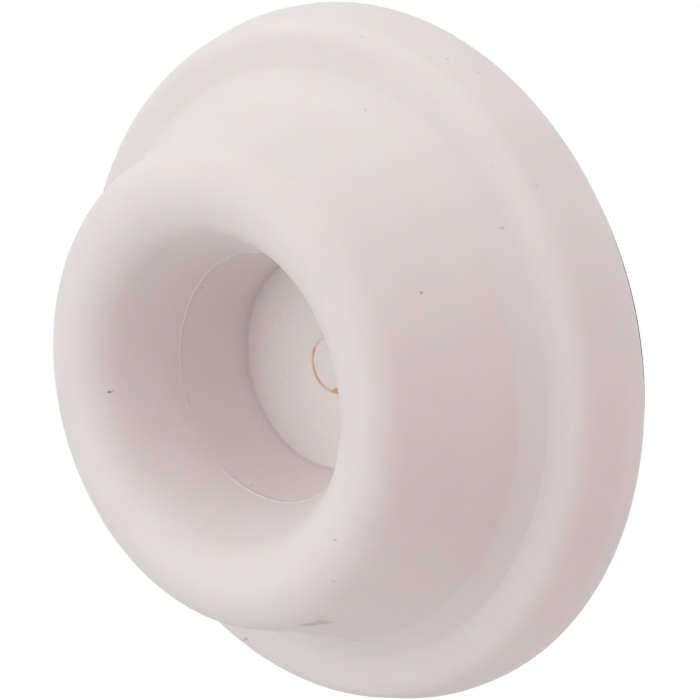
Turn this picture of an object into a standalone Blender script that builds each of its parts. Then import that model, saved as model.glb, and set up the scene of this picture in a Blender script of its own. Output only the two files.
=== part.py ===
"""Adhesive wall bumper: a moulded rubber door stop on a disc of adhesive foam.

A round flange carries a conical boss with a rounded rim, and a deep cup is sunk
into the boss. The foam disc behind the flange sticks the bumper to a wall.

Sizes are in metres. The wall is the plane y = 0, +Z is up and the front faces
-Y, so Y is the axis of every turned shape. Each shape is drawn as a half section
of radius and height, where height is measured away from the wall.
"""

import math

import bmesh
import bpy
from mathutils import Matrix, Vector

# Steps round a turned shape, and the turn between two points of a rounded corner
SEGMENTS = 80
ARC_STEP = math.radians(15)

# Share of a side that the fillets at its two ends may take up together
FILLETED_SHARE = 0.98

# Adhesive foam disc, and its clearance to the moulding
PAD_THICKNESS = 0.0008
PAD_INSET = 0.0016
PAD_CLEARANCE = 0.0003

# Flange: a flat back, a side that leans in above its straight foot, a rounded shoulder, a top that ends in a
# shallow valley, and a low skirt that climbs from the valley to the crease at the foot of the boss. Heights are
# above the back of the flange.
FLANGE_RADIUS = 0.03175
FLANGE_FOOT_HEIGHT = 0.00334
SHOULDER_INSET = 0.00129
SHOULDER_HEIGHT = 0.00776
VALLEY_INSET = 0.00500
VALLEY_HEIGHT = 0.00790
SKIRT_INSET = 0.00600
SKIRT_HEIGHT = 0.00850
CREASE_INSET = 0.00715
CREASE_HEIGHT = 0.00930
BACK_EDGE_FILLET = 0.00180
FOOT_FILLET = 0.00400
SHOULDER_FILLET = 0.00237
VALLEY_FILLET = 0.00040
SKIRT_FILLET = 0.00200
CREASE_FILLET = 0.00100

# Boss: a wall that is a little hollow, from the crease up to a rim that is rounded over into the cup.
# The rim's two radii are those of its corners before they are rounded.
BODY_HEIGHT = 0.02158
RIM_OUTER_RADIUS = 0.02076
RIM_INNER_RADIUS = 0.01523
WALL_HOLLOW = 0.00026
RIM_OUTER_FILLET = 0.00362
RIM_INNER_FILLET = 0.00480
SOFT_FILLET = 0.014

# Cup: a flared mouth down to the mould's parting line, then a steeper throat
CUP_DEPTH = 0.01499
THROAT_DEPTH = 0.00691
THROAT_RADIUS = 0.01145
MOUTH_SWELL = 0.00047
MOUTH_SWELL_SHARE = 0.45
CUP_FLOOR_RADIUS = 0.00969
CUP_FLOOR_FILLET = 0.00025

# Witness marks of the mould: a fine bead on the parting line, a ring in the floor
PARTING_BEAD_WIDTH = 0.00020
PARTING_BEAD_HEIGHT = 0.00006
RING_RADIUS = 0.0025
RING_WIDTH = 0.00030
RING_DEPTH = 0.00010


def rounded(corners):
    """Points of an open outline whose corners (radius, height, fillet) are rounded off."""
    places = [Vector(corner[:2]) for corner in corners]
    reaches = fillet_reaches(places, [corner[2] for corner in corners])
    points = [places[0]]
    for before, corner, after, reach in zip(places, places[1:], places[2:], reaches[1:]):
        points += corner_arc(before, corner, after, reach)
    points.append(places[-1])
    return points


def fillet_reaches(places, fillets):
    """How far the fillet of each corner reaches along its sides. Two that meet on a side shrink alike."""
    reaches = [0.0]
    for before, corner, after, fillet in zip(places, places[1:], places[2:], fillets[1:]):
        reaches.append(fillet / math.tan((before - corner).angle(after - corner) / 2))
    reaches.append(0.0)
    shares = [1.0] * len(places)
    for side in range(len(places) - 1):
        room = (places[side + 1] - places[side]).length * FILLETED_SHARE
        share = room / max(room, reaches[side] + reaches[side + 1])
        shares[side] = min(shares[side], share)
        shares[side + 1] = min(shares[side + 1], share)
    return [reach * share for reach, share in zip(reaches, shares)]


def corner_arc(before, corner, after, reach):
    """The rounded corner, as points on the arc that starts and ends at the reach from the corner."""
    if reach <= 0:
        return [corner]
    to_before = (before - corner).normalized()
    to_after = (after - corner).normalized()
    half_angle = to_before.angle(to_after) / 2
    centre = corner + (to_before + to_after).normalized() * (reach / math.cos(half_angle))
    start = corner + to_before * reach - centre
    end = corner + to_after * reach - centre
    turn = math.pi - 2 * half_angle
    steps = max(1, round(turn / ARC_STEP))
    sense = math.copysign(1, start.x * end.y - start.y * end.x)
    return [centre + Matrix.Rotation(sense * turn * step / steps, 2) @ start for step in range(steps + 1)]


def wall_middle(crease, rim):
    """The middle of the boss's wall, set in towards the axis by its hollow."""
    return (crease + rim) / 2 - Vector((WALL_HOLLOW, 0))


def mouth_swell(mouth, throat):
    """The point where the cup's mouth swells most towards the axis."""
    slope = (throat - mouth).normalized()
    return mouth.lerp(throat, MOUTH_SWELL_SHARE) + Vector((slope.y, -slope.x)) * MOUTH_SWELL


def body_section():
    """The half section of the moulding, from the axis at its back to the axis on the cup floor."""
    back = PAD_THICKNESS + PAD_CLEARANCE
    top = back + BODY_HEIGHT
    floor = top - CUP_DEPTH
    crease = Vector((FLANGE_RADIUS - CREASE_INSET, back + CREASE_HEIGHT))
    rim = Vector((RIM_OUTER_RADIUS, top))
    mouth = Vector((RIM_INNER_RADIUS, top))
    throat = Vector((THROAT_RADIUS, top - THROAT_DEPTH))
    swell = mouth_swell(mouth, throat)
    floor_edge = Vector((CUP_FLOOR_RADIUS, floor))
    above = throat + (swell - throat).normalized() * PARTING_BEAD_WIDTH / 2
    below = throat + (floor_edge - throat).normalized() * PARTING_BEAD_WIDTH / 2
    return rounded(
        [
            (0, back, 0),
            (FLANGE_RADIUS, back, BACK_EDGE_FILLET),
            (FLANGE_RADIUS, back + FLANGE_FOOT_HEIGHT, FOOT_FILLET),
            (FLANGE_RADIUS - SHOULDER_INSET, back + SHOULDER_HEIGHT, SHOULDER_FILLET),
            (FLANGE_RADIUS - VALLEY_INSET, back + VALLEY_HEIGHT, VALLEY_FILLET),
            (FLANGE_RADIUS - SKIRT_INSET, back + SKIRT_HEIGHT, SKIRT_FILLET),
            (*crease, CREASE_FILLET),
            (*wall_middle(crease, rim), SOFT_FILLET),
            (*rim, RIM_OUTER_FILLET),
            (*mouth, RIM_INNER_FILLET),
            (*swell, SOFT_FILLET),
            (*above, 0),
            (THROAT_RADIUS - PARTING_BEAD_HEIGHT, throat.y, 0),
            (*below, 0),
            (*floor_edge, CUP_FLOOR_FILLET),
            (RING_RADIUS + RING_WIDTH / 2, floor, 0),
            (RING_RADIUS, floor - RING_DEPTH, 0),
            (RING_RADIUS - RING_WIDTH / 2, floor, 0),
            (0, floor, 0),
        ]
    )


def pad_section():
    """The half section of the foam disc, from the wall to its front."""
    radius = FLANGE_RADIUS - PAD_INSET
    return [Vector((0, 0)), Vector((radius, 0)), Vector((radius, PAD_THICKNESS)), Vector((0, PAD_THICKNESS))]


def turned(name, section, material, stand):
    """A closed solid of revolution about its own Z axis, hung on the stand that turns Z to the front."""
    mesh = bpy.data.meshes.new(name)
    bm = bmesh.new()
    verts = [bm.verts.new((point.x, 0, point.y)) for point in section]
    edges = [bm.edges.new(pair) for pair in zip(verts, verts[1:])]
    bmesh.ops.spin(
        bm, geom=verts + edges, cent=(0, 0, 0), axis=(0, 0, 1), angle=math.tau, steps=SEGMENTS, use_merge=True
    )
    bmesh.ops.remove_doubles(bm, verts=bm.verts, dist=1e-7)
    bmesh.ops.recalc_face_normals(bm, faces=bm.faces)
    bm.to_mesh(mesh)
    bm.free()
    mesh.shade_smooth()
    mesh.set_sharp_from_angle(angle=math.radians(40))
    mesh.materials.append(material)
    obj = bpy.data.objects.new(name, mesh)
    bpy.context.collection.objects.link(obj)
    obj.parent = stand
    return obj


def plain_material(name, colour, roughness):
    material = bpy.data.materials.new(name)
    material.use_nodes = True
    shader = material.node_tree.nodes["Principled BSDF"]
    shader.inputs["Base Color"].default_value = (*colour, 1)
    shader.inputs["Roughness"].default_value = roughness
    shader.inputs["Metallic"].default_value = 0
    return material


def clear_scene():
    for obj in list(bpy.data.objects):
        bpy.data.objects.remove(obj, do_unlink=True)


def build():
    clear_scene()
    stand = bpy.data.objects.new("wall_point", None)
    stand.rotation_euler = (math.pi / 2, 0, 0)
    bpy.context.collection.objects.link(stand)
    rubber = plain_material("white_rubber", (0.80, 0.75, 0.73), 0.45)
    foam = plain_material("black_foam_tape", (0.02, 0.02, 0.022), 0.8)
    turned("bumper_body", body_section(), rubber, stand)
    turned("adhesive_pad", pad_section(), foam, stand)


build()
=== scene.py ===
"""Looks of the adhesive wall bumper: satin off-white rubber on a disc of black adhesive foam.

Lengths are in metres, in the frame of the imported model: the wall is the plane y = 0, +Z is up, the front
faces -Y, and Y is the axis of every turned shape. Heights in the half sections are measured off the wall.
"""

import math
from collections import namedtuple

import bmesh
import bpy
from mathutils import Matrix, Vector
from mathutils.bvhtree import BVHTree

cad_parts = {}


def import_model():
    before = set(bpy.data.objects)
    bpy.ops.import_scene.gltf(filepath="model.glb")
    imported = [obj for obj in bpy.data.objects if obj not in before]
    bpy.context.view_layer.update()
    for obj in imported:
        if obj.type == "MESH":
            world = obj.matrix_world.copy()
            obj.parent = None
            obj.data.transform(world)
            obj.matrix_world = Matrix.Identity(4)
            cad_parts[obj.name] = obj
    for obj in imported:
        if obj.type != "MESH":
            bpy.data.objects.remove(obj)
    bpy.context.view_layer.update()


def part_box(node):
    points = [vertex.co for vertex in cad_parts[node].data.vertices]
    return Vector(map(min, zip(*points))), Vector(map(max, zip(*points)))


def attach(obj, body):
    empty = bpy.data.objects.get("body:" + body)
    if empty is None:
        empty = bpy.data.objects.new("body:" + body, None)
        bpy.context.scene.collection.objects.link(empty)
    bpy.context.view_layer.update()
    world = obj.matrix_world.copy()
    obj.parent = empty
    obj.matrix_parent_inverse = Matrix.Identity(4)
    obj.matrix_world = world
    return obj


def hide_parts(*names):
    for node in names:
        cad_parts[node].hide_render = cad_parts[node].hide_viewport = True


# Steps round the turned mesh, the turn between two points of a rounded corner, and the longest straight step
SEGMENTS = 300
ARC_STEP = math.radians(6)
LONGEST_STEP = 0.0012

# Points nearer than this are one, and an edge whose faces turn by more than this is sharp
MERGE_DISTANCE = 1e-7
SHARP_TURN = math.radians(60)

# Share of a side that the fillets at its two ends may take up together
FILLETED_SHARE = 0.98

# Flange of the moulding: heights are above its back, and insets are from its radius
FLANGE_FOOT_HEIGHT = 0.00334
SHOULDER_INSET = 0.00129
SHOULDER_HEIGHT = 0.00776
VALLEY_INSET = 0.00500
VALLEY_HEIGHT = 0.00790
SKIRT_INSET = 0.00600
SKIRT_HEIGHT = 0.00850
CREASE_INSET = 0.00715
CREASE_HEIGHT = 0.00930
BACK_EDGE_FILLET = 0.00180
FOOT_FILLET = 0.00400
SHOULDER_FILLET = 0.00237
VALLEY_FILLET = 0.00040
SKIRT_FILLET = 0.00200
CREASE_FILLET = 0.00100

# Boss of the moulding: the rim's two radii are those of its corners before they are rounded
RIM_OUTER_RADIUS = 0.02076
RIM_INNER_RADIUS = 0.01523
WALL_HOLLOW = 0.00026
RIM_OUTER_FILLET = 0.00362
RIM_INNER_FILLET = 0.00480
SOFT_FILLET = 0.014

# Cup of the moulding: depths are below the rim
CUP_DEPTH = 0.01509
THROAT_DEPTH = 0.00691
THROAT_RADIUS = 0.01145
MOUTH_SWELL = 0.00020
MOUTH_SWELL_SHARE = 0.45
CUP_FLOOR_RADIUS = 0.00969
CUP_FLOOR_FILLET = 0.00025

# Bead of rubber on the parting line: it swells and thins out round the cup, has one torn nub, and is all but
# trimmed away at the lower left. A wave is its count round the cup, its phase and its share of the height.
PARTING_BEAD_DEPTH = 0.0080
PARTING_BEAD_WIDTH = 0.00020
PARTING_BEAD_HEIGHT = 0.00009
BEAD_WAVES = ((3, 0.4, 0.30), (7, 1.9, 0.25), (17, 4.1, 0.20), (41, 0.8, 0.25))
NUB_ANGLE = math.radians(118)
NUB_HALF_WIDTH = math.radians(1.6)
NUB_GROWTH = 1.6
TRIM_ANGLE = math.radians(-138)
TRIM_HALF_WIDTH = math.radians(32)
TRIM_LOSS = 0.95

# Ring of the mould's core pin in the cup floor, a little to the right of its middle
RING_SIDE = 0.0010
RING_RADIUS = 0.00253
RING_SLIDE_RADIUS = 0.0070
RING_WIDTH = 0.00030
RING_DEPTH = 0.00010

# Foam disc behind the moulding: a hair short of its back and of its solid, stuck on a hair off centre, with
# its cut edge pressed in
FOAM_SHORTFALL = 0.00020
FOAM_SIDE = 0.00008
FOAM_DROP = 0.00015
FOAM_CLEARANCE = 0.00002
FOAM_EDGE_STEPS = 4
FOAM_EDGE_DIP = 0.12

# Camera: the photograph's frame in pixels, and where the middle of the flange's back falls in it
IMAGE_WIDTH = 700
SENSOR_WIDTH = 36
FOCAL_PIXELS = 3209
CAMERA_AZIMUTH = 42.59
CAMERA_ELEVATION = 14.33
CAMERA_DISTANCE = 0.2915
CAMERA_CLIP_START = 0.01
BACK_CENTRE_COLUMN = 373.9
BACK_CENTRE_ROW = 349.4

# Large disc lamps round the bumper. Azimuth 0 is in front of it and 90 on its right, seen from the front. A
# share of 1 would light a white face that is turned to the lamp to plain white.
Lamp = namedtuple("Lamp", "name azimuth elevation share colour")
LAMP_DISTANCE = 0.6
LAMP_SIZE = 0.5
LAMPS = (
    Lamp("front_high", 12, 37, 0.190, (1.00, 0.95, 1.00)),
    Lamp("front_right", 67, -11, 0.065, (1.00, 0.95, 0.85)),
    Lamp("right_high", 118, 47, 0.044, (0.84, 0.95, 1.00)),
    Lamp("top", 43, 84, 0.439, (0.88, 1.00, 0.90)),
    Lamp("front_left", -28, 5, 0.425, (0.88, 1.00, 0.95)),
    Lamp("right_low", 96, -34, 0.530, (1.00, 0.95, 0.84)),
    Lamp("behind_high", 176, 48, 0.111, (0.92, 0.95, 1.00)),
    Lamp("behind_low", 142, -32, 0.444, (1.00, 0.95, 1.00)),
)
WORLD_STRENGTH = 0.333
WORLD_COLOUR = (1.0, 0.80, 0.91)

# Floor well below the bumper, which hangs on its wall: pale where its shadow falls, and white further out
FLOOR_HEIGHT = -0.25
FLOOR_SIZE = 12.0
FLOOR_ROUGHNESS = 0.9
SHADOW_REACH = 0.30
WHITE_REACH = 0.55

# Colours, linear
RUBBER_COLOUR = (0.80, 0.745, 0.73)
RUBBER_SHADE_COLOUR = (0.77, 0.70, 0.685)
# The soil colour serves the soil marks and the floor's pits, and also the painted shade in the cup floor's
# corner
SOIL_AND_SHADE_COLOUR = (0.33, 0.27, 0.26)
RUST_COLOUR = (0.60, 0.32, 0.11)
FOAM_COLOUR = (0.02, 0.02, 0.022)
FOAM_CELL_COLOUR = (0.035, 0.035, 0.038)
FLOOR_COLOUR = (0.8, 0.8, 0.8)
WHITE = (1, 1, 1)

# Rubber: satin, with a little light under its surface, which reaches furthest in red
RUBBER_ROUGHNESS = 0.48
RUBBER_IOR = 1.48
RUBBER_SPECULAR = 0.2
SOFT_LIGHT_WEIGHT = 0.25
SOFT_LIGHT_REACH = 0.0018
SOFT_LIGHT_COLOURS = (1.0, 0.45, 0.35)

# Clouds of the shade colour in the rubber: their size, the noise between which they come up, and their share
CLOUD_SIZE = 0.006
CLOUD_RANGE = (0.35, 0.7)
CLOUD_SHARE = 0.35

# Grain of the rubber: faint all over, and stronger on the cup floor, where the mould's core was eroded. The
# floor's pits are a little soiled.
GRAIN_SIZE = 0.00028
GRAIN_DEPTH = 0.00005
WALL_GRAIN = 0.08
FLOOR_GRAIN = 0.65
PIT_RANGE = (0.35, 0.65)
PIT_SOIL = 0.07

# Painted shade in the corner round the cup floor, where the wall meets the floor: how far up the wall it
# reaches, how many times less far it reaches over the floor, and its share of the colour in the corner
CORNER_HEIGHT = 0.0010
CORNER_LEAN = 4.0
CORNER_SHADE = 0.16

# Rust on the ring: along a way to the upper right it thins out between two places, from the first share to
# the second. It comes in patches, and fades between two distances from the groove.
RUST_WAY = (0.4, 0.0, 0.9)
RUST_PLACES = (0.0002, 0.0019)
RUST_SHARES = (0.8, 0.15)
RUST_PATCH_SIZE = 0.0012
RUST_PATCH_RANGE = (0.3, 0.6)
RUST_PATCH_SHARES = (0.35, 1.0)
RUST_REACHES = (0.00005, 0.00022)

# Marks on the rubber, by the photograph's pixel that their middle falls on. Length and width are in pixels
# too, the slant is in degrees up from level, and the depth is the share of their colour, from 0 to 1.
Mark = namedtuple("Mark", "column row length width slant depth")
SOIL_MARKS = (
    Mark(310.5, 624.4, 24, 4.4, 4, 0.46),
    Mark(324.0, 623.0, 18, 4.4, 4, 0.44),
    Mark(319.0, 621.2, 14, 3.0, 8, 0.42),
    Mark(322.2, 616.8, 7, 1.4, 2, 0.30),
    Mark(353.5, 640.0, 24, 2.4, 1, 0.12),
    Mark(341.7, 636.2, 6, 1.6, 0, 0.10),
    Mark(246.0, 639.0, 4.5, 4.0, -30, 0.55),
    Mark(109.6, 392.1, 5.5, 2.8, 5, 1.0),
    Mark(112.8, 391.2, 5.0, 2.0, 20, 0.35),
    Mark(447.9, 58.8, 4.0, 2.6, 0, 0.28),
    Mark(478.5, 73.0, 3.6, 3.2, 20, 0.25),
    Mark(536.2, 186.5, 2.6, 5.0, 0, 0.16),
    Mark(502.2, 228.1, 5.6, 3.2, -30, 0.36),
    Mark(421.4, 292.6, 3.6, 3.2, 0, 0.62),
    Mark(365.4, 109.6, 2.6, 3.6, 0, 0.28),
    Mark(362.8, 36.6, 3.8, 2.4, 0, 0.24),
    Mark(491.8, 165.9, 3.4, 3.4, 0, 0.12),
    Mark(335.2, 540.1, 3.6, 3.2, 0, 0.42),
    Mark(333.5, 581.6, 4.6, 3.4, 0, 0.24),
    Mark(252.0, 485.5, 3.4, 3.4, 0, 0.26),
    Mark(202.6, 287.7, 3.2, 2.4, 0, 0.48),
)
RUST_MARKS = (
    Mark(335.8, 390.2, 9, 5, 10, 0.85),
    Mark(261.0, 400.0, 4, 2, 20, 0.20),
)

# How far a mark reaches into the surface along the line of sight of the photograph, how far from its middle
# the faces carry the marks, and where it is full and where it ends, as shares of its half sizes
MARK_REACH = 0.0015
MARK_PATCH = 0.0026
MARK_EDGES = (0.35, 1.25)

# Ragged edges of the soil marks: the size of the jags, and how far noise shifts them
JAG_SIZE = 0.00025
JAG_SHIFT = 0.00012
NOISE_MIDDLE = (0.5, 0.5, 0.5)

# Cut foam: its open cells
FOAM_ROUGHNESS = 0.85
CELL_SIZE = 0.0004
CELL_DEPTH = 0.0001
CELL_STRENGTH = 0.6

# Places of the rubber's three materials in the moulding's list
PLAIN, MARKED, CUP_FLOOR = range(3)


def rounded(corners):
    """Points of an open outline whose corners (radius, height, fillet) are rounded off."""
    places = [Vector(corner[:2]) for corner in corners]
    reaches = fillet_reaches(places, [corner[2] for corner in corners])
    points = [places[0]]
    for before, corner, after, reach in zip(places, places[1:], places[2:], reaches[1:]):
        points += corner_arc(before, corner, after, reach)
    points.append(places[-1])
    return points


def fillet_reaches(places, fillets):
    """How far the fillet of each corner reaches along its sides. Two that meet on a side shrink alike."""
    reaches = [0.0]
    for before, corner, after, fillet in zip(places, places[1:], places[2:], fillets[1:]):
        reaches.append(fillet / math.tan((before - corner).angle(after - corner) / 2))
    reaches.append(0.0)
    shares = [1.0] * len(places)
    for side in range(len(places) - 1):
        room = (places[side + 1] - places[side]).length * FILLETED_SHARE
        share = room / max(room, reaches[side] + reaches[side + 1])
        shares[side] = min(shares[side], share)
        shares[side + 1] = min(shares[side + 1], share)
    return [reach * share for reach, share in zip(reaches, shares)]


def corner_arc(before, corner, after, reach):
    """The rounded corner, as points on the arc that starts and ends at the reach from the corner."""
    if reach <= 0:
        return [corner]
    to_before = (before - corner).normalized()
    to_after = (after - corner).normalized()
    half_angle = to_before.angle(to_after) / 2
    centre = corner + (to_before + to_after).normalized() * (reach / math.cos(half_angle))
    start = corner + to_before * reach - centre
    end = corner + to_after * reach - centre
    turn = math.pi - 2 * half_angle
    steps = max(1, round(turn / ARC_STEP))
    sense = math.copysign(1, start.x * end.y - start.y * end.x)
    return [centre + Matrix.Rotation(sense * turn * step / steps, 2) @ start for step in range(steps + 1)]


def divided(points):
    """The outline with its long straight runs cut into steps, so that the mesh is even."""
    out = [points[0]]
    for start, end in zip(points, points[1:]):
        steps = max(1, math.ceil((end - start).length / LONGEST_STEP))
        out += [start.lerp(end, step / steps) for step in range(1, steps + 1)]
    return out


def wall_middle(crease, rim):
    """The middle of the boss's wall, set in towards the axis by its hollow."""
    return (crease + rim) / 2 - Vector((WALL_HOLLOW, 0))


def mouth_swell(mouth, throat):
    """The point where the cup's mouth swells most towards the axis."""
    slope = (throat - mouth).normalized()
    return mouth.lerp(throat, MOUTH_SWELL_SHARE) + Vector((slope.y, -slope.x)) * MOUTH_SWELL


def body_section(radius, back, top):
    """The half section of the moulding, from the axis at its back to the axis on the cup floor."""
    floor = top - CUP_DEPTH
    crease = Vector((radius - CREASE_INSET, back + CREASE_HEIGHT))
    rim = Vector((RIM_OUTER_RADIUS, top))
    mouth = Vector((RIM_INNER_RADIUS, top))
    throat = Vector((THROAT_RADIUS, top - THROAT_DEPTH))
    return rounded(
        [
            (0, back, 0),
            (radius, back, BACK_EDGE_FILLET),
            (radius, back + FLANGE_FOOT_HEIGHT, FOOT_FILLET),
            (radius - SHOULDER_INSET, back + SHOULDER_HEIGHT, SHOULDER_FILLET),
            (radius - VALLEY_INSET, back + VALLEY_HEIGHT, VALLEY_FILLET),
            (radius - SKIRT_INSET, back + SKIRT_HEIGHT, SKIRT_FILLET),
            (*crease, CREASE_FILLET),
            (*wall_middle(crease, rim), SOFT_FILLET),
            (*rim, RIM_OUTER_FILLET),
            (*mouth, RIM_INNER_FILLET),
            (*mouth_swell(mouth, throat), SOFT_FILLET),
            (*throat, SOFT_FILLET),
            (CUP_FLOOR_RADIUS, floor, CUP_FLOOR_FILLET),
            (RING_RADIUS + RING_WIDTH / 2, floor, 0),
            (RING_RADIUS, floor - RING_DEPTH, 0),
            (RING_RADIUS - RING_WIDTH / 2, floor, 0),
            (0, floor, 0),
        ]
    )


def beaded(outline, height):
    """The outline with the parting bead at a height inside the cup, and the place of the bead's top."""
    sides = list(zip(outline, outline[1:]))
    place = next(number for number, (start, end) in enumerate(sides) if start.y > height >= end.y)
    start, end = sides[place]
    middle = start.lerp(end, (start.y - height) / (start.y - end.y))
    along = (end - start).normalized()
    half_width = along * PARTING_BEAD_WIDTH / 2
    top = middle + Vector((along.y, -along.x)) * PARTING_BEAD_HEIGHT
    return [*outline[: place + 1], middle - half_width, top, middle + half_width, *outline[place + 1 :]], top


def foam_section(radius, front):
    """The half section of the foam disc, from the wall to its front."""
    edge = []
    for step in range(FOAM_EDGE_STEPS + 1):
        share = step / FOAM_EDGE_STEPS
        dip = front * FOAM_EDGE_DIP * math.sin(math.pi * share)
        edge.append(Vector((radius - dip, front * share)))
    return [Vector((0, 0)), *edge, Vector((0, front))]


def bead_growth(angle):
    """How much of its height the parting bead gains or loses at an angle round the cup."""
    growth = sum(share * math.sin(waves * angle + phase) for waves, phase, share in BEAD_WAVES)
    off_nub = (angle - NUB_ANGLE) / NUB_HALF_WIDTH
    off_trim = (angle - TRIM_ANGLE) / TRIM_HALF_WIDTH
    growth += NUB_GROWTH * math.exp(-off_nub * off_nub) - TRIM_LOSS * math.exp(-off_trim * off_trim)
    return max(-1, growth)


def shape_bead(mesh, bead_top):
    """Moves the top edge of the parting bead in and out."""
    for vert in mesh.vertices:
        radius = math.hypot(vert.co.x, vert.co.z)
        if abs(radius - bead_top.x) + abs(vert.co.y + bead_top.y) < PARTING_BEAD_HEIGHT / 4:
            rise = PARTING_BEAD_HEIGHT * bead_growth(math.atan2(vert.co.z, vert.co.x))
            vert.co.x *= 1 - rise / radius
            vert.co.z *= 1 - rise / radius


def slide_ring(mesh, floor_height):
    """Slides the ring sideways in the cup floor, and the floor round it less and less."""
    for vert in mesh.vertices:
        if abs(vert.co.y + floor_height) < 2 * RING_DEPTH:
            radius = math.hypot(vert.co.x, vert.co.z)
            share = (RING_SLIDE_RADIUS - radius) / (RING_SLIDE_RADIUS - RING_RADIUS - RING_WIDTH)
            vert.co.x += RING_SIDE * min(1, max(0, share))


def turned(name, section):
    """A closed solid of revolution about Y, with its section's heights running towards -Y."""
    mesh = bpy.data.meshes.new(name)
    bm = bmesh.new()
    verts = [bm.verts.new((point.x, -point.y, 0)) for point in section]
    edges = [bm.edges.new(pair) for pair in zip(verts, verts[1:])]
    bmesh.ops.spin(
        bm, geom=verts + edges, cent=(0, 0, 0), axis=(0, 1, 0), angle=math.tau, steps=SEGMENTS, use_merge=True
    )
    bmesh.ops.remove_doubles(bm, verts=bm.verts, dist=MERGE_DISTANCE)
    bmesh.ops.recalc_face_normals(bm, faces=bm.faces)
    bm.to_mesh(mesh)
    bm.free()
    mesh.shade_smooth()
    mesh.set_sharp_from_angle(angle=SHARP_TURN)
    obj = bpy.data.objects.new(name, mesh)
    bpy.context.scene.collection.objects.link(obj)
    return obj


class Graph:
    """A node tree, whose nodes are added one by one and linked as they are made."""

    def __init__(self, tree):
        self.nodes = tree.nodes
        self.links = tree.links

    def set(self, node, values):
        """Sets a node's inputs, by name or number, to values or to other nodes' outputs."""
        for key, value in values.items():
            if isinstance(value, bpy.types.NodeSocket):
                self.links.new(value, node.inputs[key])
            else:
                node.inputs[key].default_value = value

    def add(self, kind, values=None, output=0, **settings):
        """Adds a node and returns one of its outputs."""
        node = self.nodes.new(kind)
        for key, value in settings.items():
            setattr(node, key, value)
        self.set(node, values or {})
        return node.outputs[output]

    def math(self, operation, first, second=0.0):
        """Works on one or two numbers."""
        return self.add("ShaderNodeMath", {0: first, 1: second}, operation=operation)

    def hypot(self, first, second):
        """The length of a straight line that runs as far as the two numbers, square to each other."""
        squares = self.math("ADD", self.math("POWER", first, 2.0), self.math("POWER", second, 2.0))
        return self.math("SQRT", squares)

    def length(self, vector):
        """The length of a vector."""
        return self.add("ShaderNodeVectorMath", {0: vector}, output="Value", operation="LENGTH")

    def axis(self, place, name):
        """One coordinate of a place."""
        return self.add("ShaderNodeSeparateXYZ", {0: place}, output=name)

    def fade(self, value, start, end, low=0.0, high=1.0):
        """Goes smoothly from low at start to high at end."""
        inputs = {"Value": value, "From Min": start, "From Max": end, "To Min": low, "To Max": high}
        return self.add("ShaderNodeMapRange", inputs, interpolation_type="SMOOTHSTEP")

    def noise(self, place, size, detail=2.0, roughness=0.5, output=0):
        """Noise with features of about the given size in metres."""
        inputs = {"Vector": place, "Scale": 1 / size, "Detail": detail, "Roughness": roughness}
        return self.add("ShaderNodeTexNoise", inputs, output)

    def mix(self, share, first, second):
        """The first colour with a share of the second."""
        node = self.nodes.new("ShaderNodeMix")
        node.data_type = "RGBA"
        self.set(node, {0: share, 6: first, 7: second})
        return node.outputs[2]

    def seen(self):
        """1 where a camera, glossy or transmission ray looks, and 0 where light is only gathered."""
        path = self.nodes.new("ShaderNodeLightPath")
        seen = self.math("MAXIMUM", path.outputs["Is Camera Ray"], path.outputs["Is Glossy Ray"])
        return self.math("MAXIMUM", seen, path.outputs["Is Transmission Ray"])


def new_material(name):
    """A material, its graph and its shader."""
    material = bpy.data.materials.new(name)
    material.use_nodes = True
    return material, Graph(material.node_tree), material.node_tree.nodes["Principled BSDF"]


class Rubber:
    """Satin rubber with a soft cloudy tint and a fine grain, over which more colours can be painted."""

    def __init__(self, name, grain_strength):
        self.material, self.graph, self.shader = new_material(name)
        graph = self.graph
        graph.set(
            self.shader,
            {
                "Roughness": RUBBER_ROUGHNESS,
                "IOR": RUBBER_IOR,
                "Specular IOR Level": RUBBER_SPECULAR,
                "Subsurface Weight": SOFT_LIGHT_WEIGHT,
                "Subsurface Radius": SOFT_LIGHT_COLOURS,
                "Subsurface Scale": SOFT_LIGHT_REACH,
            },
        )
        self.place = graph.add("ShaderNodeTexCoord", output="Object")
        self.grain = graph.noise(self.place, GRAIN_SIZE, roughness=0.6)
        bump_inputs = {"Strength": grain_strength, "Distance": GRAIN_DEPTH, "Height": self.grain}
        graph.set(self.shader, {"Normal": graph.add("ShaderNodeBump", bump_inputs)})
        clouds = graph.fade(graph.noise(self.place, CLOUD_SIZE, detail=3.0), *CLOUD_RANGE, 0.0, CLOUD_SHARE)
        self.colour = graph.mix(clouds, (*RUBBER_COLOUR, 1), (*RUBBER_SHADE_COLOUR, 1))

    def paint(self, share, colour):
        """Covers a share of the colour so far with another."""
        self.colour = self.graph.mix(share, self.colour, (*colour, 1))

    def finished(self):
        """The material, once all its colours are on."""
        self.graph.set(self.shader, {"Base Color": self.colour})
        return self.material


def plain_rubber():
    """Rubber with nothing on it."""
    return Rubber("satin_rubber", WALL_GRAIN).finished()


def marked_rubber(frame, spots):
    """Rubber with the soil marks."""
    rubber = Rubber("marked_rubber", WALL_GRAIN)
    place = ragged(rubber.graph, rubber.place)
    rubber.paint(marks_at(rubber.graph, place, frame, spots), SOIL_AND_SHADE_COLOUR)
    return rubber.finished()


def cup_floor_rubber(frame, spots, floor_height):
    """Rubber with the floor's stronger grain, painted shade in its corner, rust on its ring, and the rust
    marks.
    """
    rubber = Rubber("cup_floor_rubber", FLOOR_GRAIN)
    graph = rubber.graph
    place = rubber.place
    rubber.paint(graph.fade(rubber.grain, *PIT_RANGE, PIT_SOIL, 0.0), SOIL_AND_SHADE_COLOUR)
    # Painted shade: the colour darkens in the corner where the cup's wall meets its floor
    rubber.paint(shade_in_corner(graph, place, floor_height), SOIL_AND_SHADE_COLOUR)
    rust = graph.math("MAXIMUM", rust_on_ring(graph, place), marks_at(graph, place, frame, spots))
    rubber.paint(rust, RUST_COLOUR)
    return rubber.finished()


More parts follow.
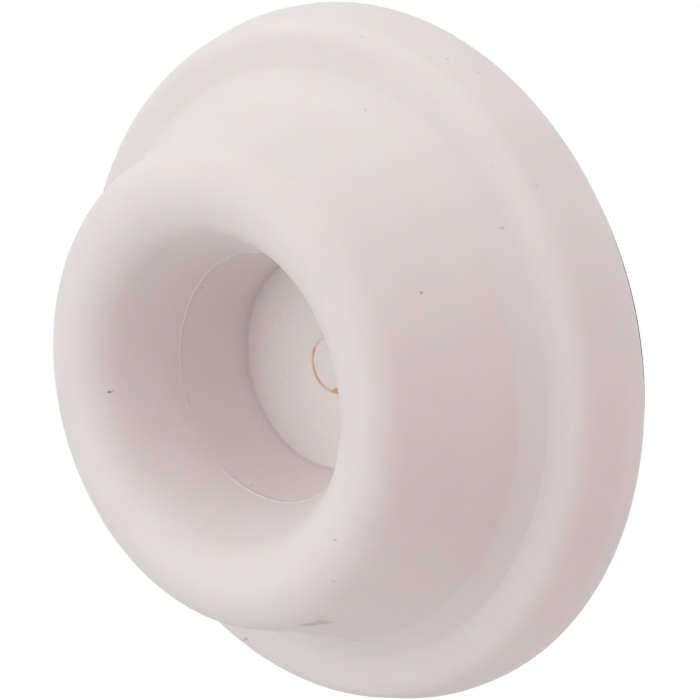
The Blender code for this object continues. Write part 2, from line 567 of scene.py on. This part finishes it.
def ragged(graph, place):
    """The place shifted a little here and there, which gives marks ragged edges."""
    noise = graph.noise(place, JAG_SIZE, detail=1.0, output="Color")
    way = graph.add("ShaderNodeVectorMath", {0: noise, 1: NOISE_MIDDLE}, operation="SUBTRACT")
    shift = graph.add("ShaderNodeVectorMath", {0: way, "Scale": JAG_SHIFT}, operation="SCALE")
    return graph.add("ShaderNodeVectorMath", {0: place, 1: shift}, operation="ADD")


def marks_at(graph, place, frame, spots):
    """The strongest of the marks at a place. Each is an ellipsoid that lies along the line of sight."""
    strongest = 0.0
    for mark, spot in spots:
        turn = frame.turn @ Matrix.Rotation(math.radians(mark.slant), 3, "Z")
        half_sizes = (mark.length * frame.pixel / 2, mark.width * frame.pixel / 2, MARK_REACH)
        inputs = {"Vector": place, "Location": spot, "Rotation": turn.to_euler(), "Scale": half_sizes}
        inside = graph.add("ShaderNodeMapping", inputs, vector_type="TEXTURE")
        share = graph.fade(graph.length(inside), *MARK_EDGES, mark.depth, 0.0)
        strongest = graph.math("MAXIMUM", share, strongest)
    return strongest


def off_axis(graph, place, aside=0.0):
    """The distance from the axis, or from a line to the right of it."""
    side = graph.math("SUBTRACT", graph.axis(place, "X"), aside)
    return graph.hypot(side, graph.axis(place, "Z"))


def shade_in_corner(graph, place, floor_height):
    """How much painted shade darkens the colour where the cup's wall meets its floor."""
    off_wall = graph.math("SUBTRACT", CUP_FLOOR_RADIUS, off_axis(graph, place))
    off_floor = graph.math("ADD", graph.axis(place, "Y"), floor_height)
    reach = graph.hypot(graph.math("MULTIPLY", off_wall, CORNER_LEAN), off_floor)
    return graph.fade(reach, 0.0, CORNER_HEIGHT, CORNER_SHADE, 0.0)


def rust_on_ring(graph, place):
    """How rusty the core pin's ring is."""
    inputs = {0: place, 1: RUST_WAY}
    along = graph.add("ShaderNodeVectorMath", inputs, output="Value", operation="DOT_PRODUCT")
    rust = graph.fade(along, *RUST_PLACES, *RUST_SHARES)
    noise = graph.noise(place, RUST_PATCH_SIZE, detail=3.0)
    patches = graph.fade(noise, *RUST_PATCH_RANGE, *RUST_PATCH_SHARES)
    off_ring = graph.math("ABSOLUTE", graph.math("SUBTRACT", off_axis(graph, place, RING_SIDE), RING_RADIUS))
    on_ring = graph.fade(off_ring, *RUST_REACHES, 1.0, 0.0)
    return graph.math("MULTIPLY", graph.math("MULTIPLY", rust, patches), on_ring)


def foam_material():
    """Matt black foam with fine open cells."""
    material, graph, shader = new_material("black_foam_tape")
    place = graph.add("ShaderNodeTexCoord", output="Object")
    cells = graph.noise(place, CELL_SIZE, detail=3.0)
    colour = graph.mix(cells, (*FOAM_COLOUR, 1), (*FOAM_CELL_COLOUR, 1))
    bump = graph.add("ShaderNodeBump", {"Strength": CELL_STRENGTH, "Distance": CELL_DEPTH, "Height": cells})
    graph.set(shader, {"Base Color": colour, "Roughness": FOAM_ROUGHNESS, "Normal": bump})
    return material


def floor_material():
    """A pale matt floor that shows plain white to the camera beyond the bumper's shadow."""
    material, graph, shader = new_material("pale_floor")
    graph.set(shader, {"Base Color": (*FLOOR_COLOUR, 1), "Roughness": FLOOR_ROUGHNESS})
    place = graph.add("ShaderNodeTexCoord", output="Object")
    white = graph.add("ShaderNodeEmission", {"Color": (*WHITE, 1), "Strength": 1.0})
    share = graph.math("MULTIPLY", graph.seen(), graph.fade(graph.length(place), SHADOW_REACH, WHITE_REACH))
    surface = graph.add("ShaderNodeMixShader", {0: share, 1: shader.outputs[0], 2: white})
    graph.set(graph.nodes["Material Output"], {"Surface": surface})
    return material


def add_floor():
    """The floor, which isn't part of the object."""
    mesh = bpy.data.meshes.new("floor")
    bm = bmesh.new()
    bmesh.ops.create_grid(bm, x_segments=1, y_segments=1, size=FLOOR_SIZE / 2)
    bm.to_mesh(mesh)
    bm.free()
    mesh.materials.append(floor_material())
    floor = bpy.data.objects.new("floor", mesh)
    floor.location = (0, 0, FLOOR_HEIGHT)
    bpy.context.scene.collection.objects.link(floor)


def add_world():
    """Soft light from all round, behind a backdrop that shows plain white."""
    world = bpy.data.worlds.new("studio")
    world.use_nodes = True
    bpy.context.scene.world = world
    graph = Graph(world.node_tree)
    light = graph.nodes["Background"]
    graph.set(light, {"Color": (*WORLD_COLOUR, 1), "Strength": WORLD_STRENGTH})
    white = graph.add("ShaderNodeBackground", {"Color": (*WHITE, 1), "Strength": 1.0})
    surface = graph.add("ShaderNodeMixShader", {0: graph.seen(), 1: light.outputs[0], 2: white})
    graph.set(graph.nodes["World Output"], {"Surface": surface})


def add_lamps(centre):
    """The lamps, all at one distance from the centre and turned to it."""
    for name, azimuth, elevation, share, colour in LAMPS:
        sideways = math.radians(azimuth)
        upwards = math.radians(elevation)
        level = Vector((math.sin(sideways), -math.cos(sideways), 0))
        away = level * math.cos(upwards) + Vector((0, 0, math.sin(upwards)))
        data = bpy.data.lights.new(name, "AREA")
        data.shape = "DISK"
        data.size = LAMP_SIZE
        data.color = colour
        data.energy = share * (math.pi * LAMP_DISTANCE) ** 2
        lamp = bpy.data.objects.new(name, data)
        lamp.location = centre + away * LAMP_DISTANCE
        lamp.rotation_euler = away.to_track_quat("Z", "Y").to_euler()
        bpy.context.scene.collection.objects.link(lamp)


class PhotoFrame:
    """The photograph's camera. It stands level, and looks past its target so that this falls on its pixel."""

    def __init__(self, target):
        azimuth = math.radians(CAMERA_AZIMUTH)
        elevation = math.radians(CAMERA_ELEVATION)
        right = Vector((math.cos(azimuth), math.sin(azimuth), 0))
        level = Vector((math.sin(azimuth), -math.cos(azimuth), 0))
        back = level * math.cos(elevation) + Vector((0, 0, math.sin(elevation)))
        self.turn = Matrix((right, back.cross(right), back)).transposed()
        self.pixel = CAMERA_DISTANCE / FOCAL_PIXELS
        aside = IMAGE_WIDTH / 2 - BACK_CENTRE_COLUMN
        above = BACK_CENTRE_ROW - IMAGE_WIDTH / 2
        self.place = target + self.turn @ Vector((aside * self.pixel, above * self.pixel, CAMERA_DISTANCE))

    def spots(self, surface, marks):
        """Each mark with the place on the surface that its pixel shows."""
        found = []
        for mark in marks:
            aside = mark.column - IMAGE_WIDTH / 2
            above = IMAGE_WIDTH / 2 - mark.row
            ray = self.turn @ Vector((aside, above, -FOCAL_PIXELS))
            found.append((mark, surface.ray_cast(self.place, ray)[0]))
        return found

    def add_camera(self):
        data = bpy.data.cameras.new("camera")
        data.sensor_width = SENSOR_WIDTH
        data.lens = FOCAL_PIXELS * SENSOR_WIDTH / IMAGE_WIDTH
        data.clip_start = CAMERA_CLIP_START
        camera = bpy.data.objects.new("camera", data)
        camera.matrix_world = Matrix.Translation(self.place) @ self.turn.to_4x4()
        bpy.context.scene.collection.objects.link(camera)
        bpy.context.scene.camera = camera


def material_place(face, floor_height, soil_spots):
    """Which material a face has: the cup floor's in its corner too, the marked one near a mark, or plain."""
    centre = face.center
    if abs(centre.y + floor_height) < CORNER_HEIGHT and math.hypot(centre.x, centre.z) < THROAT_RADIUS:
        return CUP_FLOOR
    if any((centre - spot).length < MARK_PATCH for _, spot in soil_spots):
        return MARKED
    return PLAIN


def dress_body(mesh, frame, floor_height):
    """Puts the marks on the moulding and gives each face its material."""
    places = [vert.co for vert in mesh.vertices]
    surface = BVHTree.FromPolygons(places, [face.vertices for face in mesh.polygons])
    soil_spots = frame.spots(surface, SOIL_MARKS)
    rust_spots = frame.spots(surface, RUST_MARKS)
    mesh.materials.append(plain_rubber())
    mesh.materials.append(marked_rubber(frame, soil_spots))
    mesh.materials.append(cup_floor_rubber(frame, rust_spots, floor_height))
    for face in mesh.polygons:
        face.material_index = material_place(face, floor_height, soil_spots)


def add_body():
    """The moulding, in place of its solid. Returns the photograph's frame and the height of the back."""
    low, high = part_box("bumper_body")
    back, top = -high.y, -low.y
    floor_height = top - CUP_DEPTH
    section, bead_top = beaded(divided(body_section(high.x, back, top)), top - PARTING_BEAD_DEPTH)
    body = turned("rubber_body", section)
    shape_bead(body.data, bead_top)
    slide_ring(body.data, floor_height)
    frame = PhotoFrame(Vector((0, -back, 0)))
    dress_body(body.data, frame, floor_height)
    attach(body, "root")
    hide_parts("bumper_body")
    return frame, back


def add_pad(back):
    """The foam disc, in place of its solid."""
    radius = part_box("adhesive_pad")[1].x - FOAM_SHORTFALL
    pad = turned("foam_pad", foam_section(radius, back - FOAM_CLEARANCE))
    pad.data.transform(Matrix.Translation((FOAM_SIDE, 0, -FOAM_DROP)))
    pad.data.materials.append(foam_material())
    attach(pad, "root")
    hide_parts("adhesive_pad")


def main():
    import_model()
    frame, back = add_body()
    add_pad(back)
    add_floor()
    add_world()
    add_lamps(Vector((0, -back, 0)))
    frame.add_camera()


bpy.context.scene.view_settings.view_transform = "Standard"
main()
